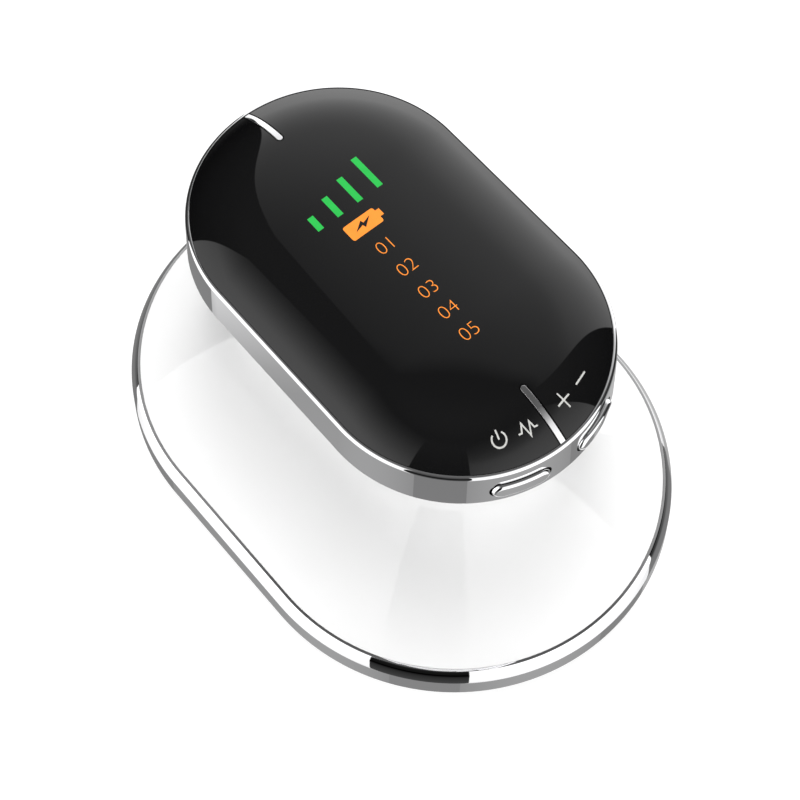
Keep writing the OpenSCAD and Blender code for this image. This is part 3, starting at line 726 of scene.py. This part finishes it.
class BuildCover(bpy.types.Operator):
    """Builds the domed cover and the two accent bars let into it"""

    bl_idname = "device.build_cover"
    bl_label = "Cover and accent bars"

    bar_t = 0.6 * MM
    gap = 0.21 * MM  # black line between a bar and the cover

    def execute(self, context):
        black = polished("Black cover", tuple(finishes().cover), 0.025)
        cover = swept("cover", cover_section(), black)
        cut(cover, [self.groove(side, black) for side in (-1, 1)])
        true_normals(cover, dome=True)
        settle(cover, "cover_black", "top_cover")
        settle(self.bar("front_bar", -1), "chrome", "front_accent")
        settle(self.bar("rear_bar", 1), "chrome", "rear_accent")
        return {"FINISHED"}

    def strip(self, half, end):
        """The outline of a strip from its round tip to a straight end, with a half width"""
        s = sizes()
        tip = s.half + s.bar_in + s.bar_w / 2
        turns = [math.pi * i / 12 for i in range(13)]
        points = [(half * math.cos(a), tip - half * math.sin(a)) for a in turns]
        sides = [(-half, tip + (end - tip) * i / 24) for i in range(1, 25)]
        return points + sides + [(-x, y) for x, y in sides[::-1]]

    def below(self, side, points, depth):
        """An outline at one end of the cover, a depth below the dome"""
        return [Vector((x * side, y * side, dome_height(x, y) - depth)) for x, y in points]

    def bar(self, name, side):
        """A bar along the middle of one end, its top on the dome and its edges a little rounded"""
        s = sizes()
        half, end = s.bar_w / 2, s.half + s.cover_r
        edge = 0.04 * MM
        loops = [self.below(side, self.strip(half, end), self.bar_t)]
        for inset in (0, 0.1 * edge, 0.35 * edge, 0.7 * edge, edge, 2.5 * edge, half):
            drop = edge - math.sqrt(max(edge**2 - max(edge - inset, 0) ** 2, 0))
            loops.append(self.below(side, self.strip(half - inset, end), drop))
        return rings(name, loops, bright_chrome(), close_end=False)

    def groove(self, side, material):
        """What a bar's groove takes out of the cover, open at the cover's edge"""
        s = sizes()
        points = self.strip(s.bar_w / 2 + self.gap, s.half + s.cover_r + 0.5 * MM)
        low = self.below(side, points, self.bar_t + self.gap)
        for point in low:
            if outward(point.x, point.y)[1] > s.cover_r:
                point.z = s.cover_z - 1 * MM
        return rings("groove", [low, self.below(side, points, -1 * MM)], material)


class BuildKeys(bpy.types.Operator):
    """Builds the two rocking keys, each with softly rounded edges that follow the band's curve"""

    bl_idname = "device.build_keys"
    bl_label = "Keys"

    def execute(self, context):
        s = sizes()
        thickness, rows = 2.4 * MM, 24
        levels = [(0, s.key_face - thickness)]
        for i in range(rows + 1):
            a = math.pi / 2 * i / rows
            inset, drop = s.key_edge * (1 - math.cos(a)), s.key_edge * (1 - math.sin(a))
            levels.append((inset, s.key_face - drop))
        middle = s.key_h / 2 - s.key_edge
        levels += [(s.key_edge + middle * i / 4, s.key_face) for i in range(1, 5)]
        for side, node in ((-1, "power_rocker"), (1, "level_rocker")):
            loops = [
                [on_band(side, r, t, u) for t, u in pill_points(s.key_l, s.key_h, inset, 24, 16)]
                for inset, r in levels
            ]
            name = node.replace("rocker", "key")
            key = rings(name, loops, bright_chrome(), close_end=False)
            settle(key, "chrome", node, body=node)
        return {"FINISHED"}


class BuildMarks(bpy.types.Operator):
    """Builds the lit marks under the cover's surface and the key labels"""

    bl_idname = "device.build_marks"
    bl_label = "Lit marks and labels"

    # Places on the cover in millimetres. A level bar is its middle, its low end and its high end
    level_bars = ((-6.08, 11.58, 14.53), (-2.06, 11.63, 15.93))
    level_bars += ((2.12, 11.78, 17.28), (6.39, 11.98, 18.88))
    number_x, number_h = -0.1, 2.4
    number_places = (2.65, -2.52, -7.72, -12.54, -17.5)

    def execute(self, context):
        f = finishes()
        green = lamp_glow("Level lamps", tuple(f.level), 0.9)
        orange = lamp_glow("Mode lamps", tuple(f.mode), 0.95)
        grey = moulded("Key label ink", tuple(f.label), 0.4)
        half, drift = 0.57, 0.03
        bars = [
            [(x - half, low), (x + half, low), (x + half + drift, high), (x - half + drift, high)]
            for x, low, high in self.level_bars
        ]
        self.mark("level_bars", bars, green, "lamp")
        self.mark("battery_mark", [self.battery(), self.bolt()], orange, "lamp")
        for i, y in enumerate(self.number_places, 1):
            self.number(f"mode_number_{i}", f"{i:02d}", y, orange)
        for name, shapes, place, turn in (
            ("power_label", self.power(), (-8.08, -33.6), -15),
            ("mode_label", self.wave(), (-3.54, -35.0), -10),
            ("plus_label", self.plus(), (3.92, -34.9), 12),
            ("minus_label", [self.bar(2.75, 0.27)], (8.5, -33.7), 18),
        ):
            turned, middle = Matrix.Rotation(math.radians(turn), 2), Vector(place)
            shapes = [[tuple(turned @ Vector(p) + middle) for p in shape] for shape in shapes]
            self.mark(name, shapes, grey, "body_white")
        return {"FINISHED"}

    def mark(self, name, shapes, material, slot):
        """Fills outlines, given in millimetres, and lays them on the cover's dome"""
        curve = bpy.data.curves.new(name, "CURVE")
        curve.dimensions = "2D"
        curve.fill_mode = "BOTH"
        for shape in shapes:
            spline = curve.splines.new("POLY")
            spline.points.add(len(shape) - 1)
            for point, (x, y) in zip(spline.points, shape):
                point.co = (x * MM, y * MM, 0, 1)
            spline.use_cyclic_u = True
        self.lay(name, curve, material, slot)

    def number(self, name, text, y, material):
        """A plain number of the set height, its strokes a little thinned"""
        thin, digit_share = 0.09, 0.73
        curve = bpy.data.curves.new(name, "FONT")
        curve.body = text
        curve.align_x = curve.align_y = "CENTER"
        curve.size = (self.number_h + 2 * thin) * MM / digit_share
        curve.offset = -thin * MM
        curve.offset_x, curve.offset_y = self.number_x * MM, y * MM
        self.lay(name, curve, material, "lamp")

    def lay(self, name, curve, material, slot):
        """Cuts a filled curve into small faces and lays it on the dome as a thin piece"""
        proud, sunk, step = 0.012 * MM, 0.03 * MM, 0.5 * MM
        curve.extrude = 0.02 * MM
        source = new_object(name, curve)
        mesh = built_mesh(source)
        bpy.data.objects.remove(source)
        bpy.data.curves.remove(curve)
        bm = bmesh.new()
        bm.from_mesh(mesh)
        bmesh.ops.remove_doubles(bm, verts=bm.verts, dist=FINE)
        for axis in (0, 1):
            low = min(v.co[axis] for v in bm.verts)
            high = max(v.co[axis] for v in bm.verts)
            for i in range(math.floor(low / step) + 1, math.ceil(high / step)):
                normal = Vector((axis == 0, axis == 1, 0))
                plane = {"plane_co": normal * i * step, "plane_no": normal, "dist": FINE / 4}
                bmesh.ops.bisect_plane(bm, geom=bm.verts[:] + bm.edges[:] + bm.faces[:], **plane)
        for v in bm.verts:
            v.co.z = dome_height(v.co.x, v.co.y) + (proud if v.co.z > 0 else -sunk)
        bm.to_mesh(mesh)
        bm.free()
        mesh.materials.append(material)
        tidy_mesh(mesh, smooth=False)
        settle(new_object(name, mesh), slot)

    def battery(self):
        """A battery's outline with rounded corners and a contact at its right end"""
        left, right, low, high, r = -3.48, 2.69, 6.48, 9.58, 0.4
        tip, tip_low, tip_high = 3.44, 7.48, 8.83
        points = arc((left + r, low + r), r, 180, 270, 5)
        points += arc((right - r, low + r), r, 270, 360, 5)
        points += [(right, tip_low), (tip, tip_low), (tip, tip_high), (right, tip_high)]
        points += arc((right - r, high - r), r, 0, 90, 5)
        return points + arc((left + r, high - r), r, 90, 180, 5)

    def bolt(self):
        """A flash"""
        left = [(-2.21, 7.53), (-0.31, 8.88), (-0.14, 8.28)]
        return left + [(1.49, 8.78), (-0.36, 7.33), (-0.53, 7.98)]

    def bar(self, wide, tall):
        x, y = wide / 2, tall / 2
        return [(-x, -y), (x, -y), (x, y), (-x, y)]

    def plus(self):
        reach, half = 1.35, 0.135
        arm = ((half, half), (half, reach), (-half, reach))
        turns = [Matrix.Rotation(math.radians(90 * i), 2) for i in range(4)]
        return [[tuple(turned @ Vector(p)) for turned in turns for p in arm]]

    def power(self):
        """A ring open at the top, and an upright bar"""
        r, half, gap, lift = 1.14, 0.14, 40, 0.75
        outer = arc((0, 0), r + half, 90 + gap, 450 - gap, 40)
        inner = arc((0, 0), r - half, 450 - gap, 90 + gap, 40)
        return [outer + inner, [(x, y + lift) for x, y in self.bar(0.28, 1.5)]]

    def wave(self):
        """A pulse: a stroke that rises and falls twice"""
        line = [(-1.7, -0.2), (-1.15, -0.2), (-0.6, 1.05), (0.05, -1.05), (0.7, 0.85)]
        line = [Vector(p) for p in line + [(1.1, -0.2), (1.7, -0.2)]]
        half, sharpest = 0.13, 0.35
        left, right = [], []
        for i, p in enumerate(line):
            before = (p - line[i - 1]).normalized() if i else None
            after = (line[i + 1] - p).normalized() if i < len(line) - 1 else before
            way = ((before or after) + after).normalized()
            side = Vector((-way.y, way.x))
            reach = half / max(sharpest, side.dot(Vector((-after.y, after.x))))
            left.append(tuple(p + side * reach))
            right.append(tuple(p - side * reach))
        return [left + right[::-1]]


class BuildHead(bpy.types.Operator):
    """Builds the two polished electrodes of the treatment head"""

    bl_idname = "device.build_head"
    bl_label = "Treatment head"

    def execute(self, context):
        chrome = bright_chrome()
        top, edge = 3.6 * MM, 1.0 * MM
        r_in, r_out, r_centre = 25 * MM, 33.39 * MM, 12.5 * MM
        outer = arc((r_out - edge, edge), edge, -90, 0, 10) + [(r_out, top), (r_in, top)]
        outer += arc((r_in + edge, edge), edge, 180, 270, 10) + [(r_out - edge, 0)]
        settle(swept("outer_pad", outer, chrome), "chrome", "outer_electrode")
        centre = [(0, 0)] + arc((r_centre - edge, edge), edge, -90, 0, 10)
        centre += [(r_centre, top), (0, top)]
        settle(swept("centre_pad", centre, chrome), "chrome", "centre_electrode")
        return {"FINISHED"}


class FinishInside(bpy.types.Operator):
    """Gives every frame node that is kept its finish"""

    bl_idname = "device.finish_inside"
    bl_label = "Inner pieces"

    def execute(self, context):
        board = circuit_board()
        steel = brushed("Screw steel", (0.62, 0.62, 0.64))
        ink = moulded("Moulded black", (0.012, 0.012, 0.013), 0.45)
        red = moulded("Plunger red", (0.55, 0.07, 0.04), 0.4)
        clear = {"Transmission Weight": 0.25}
        window = moulded("Light window", (0.86, 0.5, 0.46), 0.28, depth=4e-6, **clear)
        for material, names in (
            (moulded("Head plate plastic", (0.82, 0.82, 0.81), 0.32, depth=3e-6), "head_plate"),
            (window, "light_lens"),
            (moulded("Foam", (0.05, 0.05, 0.05), 0.9, grain=2500, depth=4e-5), "battery_pad"),
            (board, "light_board driver_board main_board power_switch_board level_switch_board"),
            (steel, "head_screws driver_screws cradle_screws"),
            (steel, "frame_screws board_screws rocker_pins"),
            (ink, "driver_chips handle_frame display_baffle control_chip"),
            (ink, "power_switch_bodies level_switch_bodies"),
            (red, "power_plunger mode_plunger plus_plunger minus_plunger"),
            (moulded("Moulded grey", (0.07, 0.07, 0.075), 0.5), "battery_cradle"),
            (moulded("Lamp resin", (0.8, 0.72, 0.42), 0.3), "light_lamps"),
            (moulded("Lamp amber", (0.8, 0.5, 0.12), 0.3), "display_lamps"),
            (moulded("Ceramic", (0.7, 0.64, 0.46), 0.6), "ultrasonic_disc"),
            (moulded("Ferrite", (0.035, 0.034, 0.036), 0.6), "output_transformer"),
            (moulded("Ribbon film", (0.62, 0.33, 0.07), 0.4), "ribbon_cable"),
            (brushed("Battery foil", (0.72, 0.72, 0.74), 0.35), "battery"),
            (brushed("Socket steel", (0.66, 0.66, 0.68), 0.25), "charging_socket"),
        ):
            for name in names.split():
                mesh = NODES[name].data
                mesh.materials.clear()
                mesh.materials.append(material)
        return {"FINISHED"}


class BuildStudio(bpy.types.Operator):
    """Builds the floor, the soft panels' light and the camera"""

    bl_idname = "device.build_studio"
    bl_label = "Studio"

    # Brightness by elevation, in degrees. A panel is its middle, its half width and its brightness
    overhead = ((69, 0.1), (78, 0.13), (90, 0.15))
    low_down = ((-52, 1.4), (-42, 1.2), (-25, 1.2), (-16, 1.6))
    left_panel = ((-90, 0.365), (-58, 0.365), *low_down, (27, 1.65), (37, 1.57), (42, 1.3))
    left_panel += ((47, 0.98), (52, 0.71), (57, 0.47), (62, 0.28), *overhead)
    front_panel = ((-90, 0.375), (-58, 0.375), *low_down, (27, 1.42), (37, 1.2), (42, 1.09))
    front_panel += ((47, 0.93), (52, 0.53), (57, 0.33), (62, 0.21), *overhead)
    right_panel = ((-90, 0.4), (-58, 0.52), (-28, 0.5), (-20, 1.0), (2, 1.9), (12, 1.75))
    right_panel += ((22, 1.57), (32, 1.38), (37, 1.28), (42, 1.15), (47, 1.0), (52, 0.77))
    right_panel += ((57, 0.57), (62, 0.42), (66, 0.33), *overhead)
    panels = ((-109, 39, left_panel), (7, 40, front_panel), (122, 40, right_panel))
    above = ((0, 0.0), (5, 0.0), (12, 0.01), (20, 0.03), (32, 0.05), (40, 0.07), (47, 0.08))
    above += ((57, 0.11), (64, 0.12), *overhead)
    near_gap = ((-90, 0.27), (-66, 0.25), (-58, 0.21), (-38, 0.07), (-25, 0.056))
    near_gap += ((-14, 0.03), (-10, 0.02), *above)
    near_middle, near_half = -50, 60
    other_gaps = ((-90, 0.26), (-60, 0.24), (-43, 0.215), (-24, 0.19), (-15, 0.14))
    other_gaps += ((-11, 0.1), (-5, 0.03), *above)
    side_fade = ((-90, 0.2), (20, 0.2), (42, 0.33), (90, 0.33))

    def execute(self, context):
        scene = context.scene
        scene.view_settings.view_transform = "Standard"
        self.floor()
        self.world(scene)
        self.lights(scene)
        self.camera(scene)
        return {"FINISHED"}

    def split(self, tree, seen, other):
        """One shader for what the camera sees, and another for all other light"""
        ray = add(tree, "ShaderNodeLightPath").outputs["Is Camera Ray"]
        values = {0: ray, 1: other.outputs[0], 2: seen.outputs[0]}
        return add(tree, "ShaderNodeMixShader", values).outputs[0]

    def floor(self):
        """A floor as white as the ground behind it, which keeps the object's soft shadow"""
        reach, below, glow, shaded = 3.0, 0.02 * MM, 0.87, 0.22
        mesh = bpy.data.meshes.new("floor")
        corners = [(x * reach, y * reach, -below) for x, y in ((-1, -1), (1, -1), (1, 1), (-1, 1))]
        mesh.from_pydata(corners, [], [(0, 1, 2, 3)])
        material = bpy.data.materials.new("Pale floor")
        material.use_nodes = True
        tree = material.node_tree
        tree.nodes.clear()
        seen = add(tree, "ShaderNodeEmission", {"Color": (1, 1, 1, 1), "Strength": glow})
        lit = add(tree, "ShaderNodeBsdfDiffuse", {"Color": (shaded, shaded, shaded, 1)})
        both = add(tree, "ShaderNodeAddShader", {0: seen.outputs[0], 1: lit.outputs[0]})
        pale = add(tree, "ShaderNodeBsdfDiffuse", {"Color": (0.8, 0.8, 0.8, 1)})
        add(tree, "ShaderNodeOutputMaterial", {0: self.split(tree, both, pale)})
        mesh.materials.append(material)
        floor = new_object("floor", mesh)
        floor.visible_glossy = False
        floor.visible_transmission = False

    def lights(self, scene):
        """A soft light overhead and a wide one in front, neither seen in reflections"""
        settings = scene.studio_settings
        for name, azimuth, elevation, angle, strength in (
            ("top_light", 145, 79, 28, settings.top_sun),
            ("front_light", 0, 12, 60, settings.front_sun),
        ):
            data = bpy.data.lights.new(name, "SUN")
            data.energy = strength
            data.angle = math.radians(angle)
            lamp = bpy.data.objects.new(name, data)
            lamp.visible_glossy = False
            scene.collection.objects.link(lamp)
            turn = direction(azimuth, elevation).to_track_quat("Z", "Y")
            lamp.matrix_world = turn.to_matrix().to_4x4()

    def world(self, scene):
        """Light by direction: three panels, bright low down and dark overhead, with dark gaps"""
        world = bpy.data.worlds.new("Studio")
        world.use_nodes = True
        tree = world.node_tree
        tree.nodes.clear()
        way = add(tree, "ShaderNodeTexCoord").outputs["Generated"]
        way = add(tree, "ShaderNodeVectorMath", {0: way}, operation="NORMALIZE").outputs[0]
        x, y, z = add(tree, "ShaderNodeSeparateXYZ", {0: way}).outputs
        turn = calc("ARCTAN2", x, calc("MULTIPLY", y, -1))
        rise = calc("MULTIPLY_ADD", calc("ARCSINE", z), 1 / math.pi, 0.5)
        near = self.ramp(tree, rise, self.near_gap)
        other = self.ramp(tree, rise, self.other_gaps)
        away = self.aside(turn, self.near_middle)
        away = calc("GREATER_THAN", away, math.radians(self.near_half))
        gap = calc("MULTIPLY_ADD", calc("SUBTRACT", other, near), away, near)
        fall = self.ramp(tree, rise, self.side_fade)
        light, blur = gap, 0.2
        for middle, half, stops in self.panels:
            off = self.aside(turn, middle)
            edges = math.radians(half + blur), math.radians(half - blur), 0.0, 1.0
            inside = spread(tree, off, *edges, interpolation_type="SMOOTHSTEP")
            way_out = calc("POWER", calc("DIVIDE", off, math.radians(half)), 2)
            fade = calc("SUBTRACT", 1, calc("MULTIPLY", fall, way_out))
            bright = calc("MULTIPLY", self.ramp(tree, rise, stops), fade)
            more = calc("MAXIMUM", calc("SUBTRACT", bright, gap), 0)
            light = calc("MULTIPLY_ADD", more, inside, light)
        light = calc("MULTIPLY", light, scene.studio_settings.panel_light)
        shine = add(tree, "ShaderNodeBackground", {"Color": (1, 1, 1, 1), "Strength": light})
        white = add(tree, "ShaderNodeBackground", {"Color": (1, 1, 1, 1)})
        add(tree, "ShaderNodeOutputWorld", {0: self.split(tree, white, shine)})
        scene.world = world

    def aside(self, turn, azimuth):
        """The angle between a direction and an azimuth, either way round"""
        off = calc("SUBTRACT", turn, math.radians(azimuth))
        return calc("ABSOLUTE", calc("WRAP", off, math.pi, -math.pi))

    def ramp(self, tree, value, stops):
        """Brightness by elevation. A ramp holds up to 1, so it holds half of it"""
        node = add(tree, "ShaderNodeValToRGB", {0: value})
        elements = node.color_ramp.elements
        for i, (angle, level) in enumerate(stops):
            place = (angle + 90) / 180
            element = elements[i] if i < 2 else elements.new(place)
            element.position = place
            element.color = (level / 2, level / 2, level / 2, 1)
        return calc("MULTIPLY", node.outputs[0], 2)

    def camera(self, scene):
        """The camera that fits the photograph's outlines"""
        azimuth, elevation, roll, distance = -40.09, 63.257, 0.133, 323.37 * MM
        target = Vector((-5.35, -7.04, 30.2)) * MM
        data = bpy.data.cameras.new("Camera")
        data.lens = scene.studio_settings.focal_mm
        data.sensor_width = 36.0
        data.clip_start, data.clip_end = 0.01, 10
        obj = bpy.data.objects.new("Camera", data)
        scene.collection.objects.link(obj)
        back = direction(azimuth, elevation)
        right = (-back).cross(Vector((0, 0, 1))).normalized()
        up = right.cross(-back)
        turned = Matrix.Rotation(math.radians(roll), 3, back)
        axes = Matrix((turned @ right, turned @ up, back)).transposed()
        obj.matrix_world = Matrix.Translation(target + back * distance) @ axes.to_4x4()
        scene.camera = obj


class DevicePanel(bpy.types.Panel):
    """Lists the device's sizes, finishes and building steps"""

    bl_idname = "VIEW3D_PT_device"
    bl_label = "Body contouring device"
    bl_space_type = "VIEW_3D"
    bl_region_type = "UI"
    bl_category = "Device"

    def draw(self, context):
        layout = self.layout
        for group, _ in GROUPS:
            column = layout.column()
            settings = getattr(context.scene, group)
            for name in settings.__annotations__:
                column.prop(settings, name)
        for operator in OPERATORS:
            layout.operator(operator.bl_idname)


OPERATORS = (
    BuildBody,
    BuildBand,
    BuildCover,
    BuildKeys,
    BuildMarks,
    BuildHead,
    FinishInside,
    BuildStudio,
)
GROUPS = (
    ("device_sizes", DeviceSizes),
    ("device_finishes", DeviceFinishes),
    ("studio_settings", StudioSettings),
)


def register():
    for _, group in GROUPS:
        bpy.utils.register_class(group)
    for name, group in GROUPS:
        setattr(bpy.types.Scene, name, bpy.props.PointerProperty(type=group))
    for kind in (*OPERATORS, DevicePanel):
        bpy.utils.register_class(kind)


def unregister():
    for kind in (DevicePanel, *OPERATORS[::-1]):
        bpy.utils.unregister_class(kind)
    for name, group in GROUPS[::-1]:
        delattr(bpy.types.Scene, name)
        bpy.utils.unregister_class(group)


def main():
    register()
    for operator in OPERATORS:
        group, name = operator.bl_idname.split(".")
        getattr(getattr(bpy.ops, group), name)()


if __name__ == "__main__":
    main()
